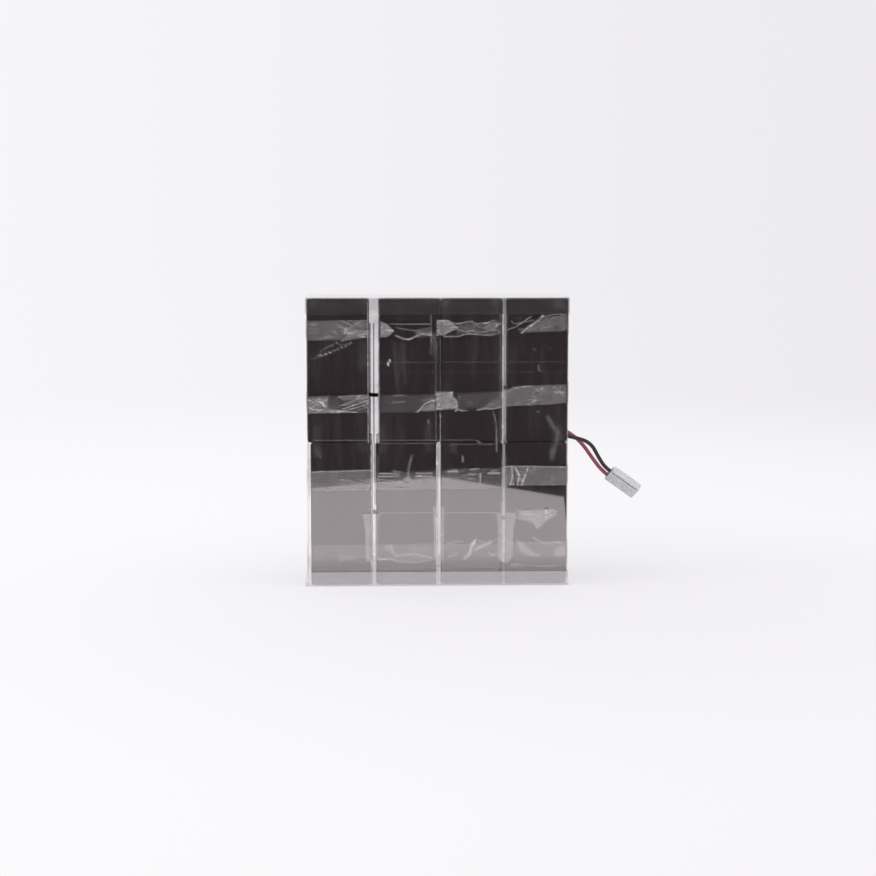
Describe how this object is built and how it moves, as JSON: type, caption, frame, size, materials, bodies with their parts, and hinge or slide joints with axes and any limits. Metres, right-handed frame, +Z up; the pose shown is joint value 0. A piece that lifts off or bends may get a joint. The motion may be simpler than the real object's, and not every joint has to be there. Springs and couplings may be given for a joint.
{
  "type": "ups battery cartridge",
  "caption": "Upright battery cartridge: sealed lead-acid blocks in two rows, held by a clear sleeve, trays and tape, wired in series to a two-pole plug.",
  "frame": {"origin": "centre of the bottom tray's underside, measured without the free leads and plug", "axes": "+X right, towards the free leads; +Y back, towards the terminals and wiring; +Z up"},
  "size_m": [0.3672, 0.1085, 0.3049],
  "materials": {
    "battery_case": "smooth black ABS",
    "battery_lid": "fine-textured black ABS",
    "tinned_brass": "tin-plated",
    "seal_red": "cast epoxy",
    "seal_black": "cast epoxy",
    "cover_nylon": "translucent nylon",
    "wire_black": "soft PVC insulation",
    "wire_red": "soft PVC insulation",
    "plug_nylon": "pale nylon",
    "clear_sheet": "clear glossy sheet",
    "clear_tray": "clear thermoformed plastic",
    "clear_tape": "clear packing tape"
  },
  "bodies": {
    "root": {"battery_case_top_1": "battery_case", "battery_lid_top_1": "battery_lid", "vent_cover_top_1": "battery_lid", "terminal_tabs_top_1": "tinned_brass", "battery_case_top_2": "battery_case", "battery_lid_top_2": "battery_lid", "vent_cover_top_2": "battery_lid", "terminal_tabs_top_2": "tinned_brass", "battery_case_top_3": "battery_case", "battery_lid_top_3": "battery_lid", "vent_cover_top_3": "battery_lid", "terminal_tabs_top_3": "tinned_brass", "battery_case_top_4": "battery_case", "battery_lid_top_4": "battery_lid", "vent_cover_top_4": "battery_lid", "terminal_tabs_top_4": "tinned_brass", "battery_case_bottom_1": "battery_case", "battery_lid_bottom_1": "battery_lid", "vent_cover_bottom_1": "battery_lid", "terminal_tabs_bottom_1": "tinned_brass", "battery_case_bottom_2": "battery_case", "battery_lid_bottom_2": "battery_lid", "vent_cover_bottom_2": "battery_lid", "terminal_tabs_bottom_2": "tinned_brass", "battery_case_bottom_3": "battery_case", "battery_lid_bottom_3": "battery_lid", "vent_cover_bottom_3": "battery_lid", "terminal_tabs_bottom_3": "tinned_brass", "battery_case_bottom_4": "battery_case", "battery_lid_bottom_4": "battery_lid", "vent_cover_bottom_4": "battery_lid", "terminal_tabs_bottom_4": "tinned_brass", "positive_seals": "seal_red", "negative_seals": "seal_black", "receptacle_clips": "tinned_brass", "receptacle_covers": "cover_nylon", "jumpers": "wire_black", "black_lead_inner": "wire_black", "black_lead": "wire_black", "red_lead_inner": "wire_red", "red_lead": "wire_red", "plug_housing": "plug_nylon", "plug_contacts": "tinned_brass", "clear_sleeve": "clear_sheet", "top_tray": "clear_tray", "bottom_tray": "clear_tray", "tape_band_top": "clear_tape", "tape_band_upper": "clear_tape", "tape_band_lower": "clear_tape", "tape_band_base": "clear_tape"}
  },
  "joints": []
}
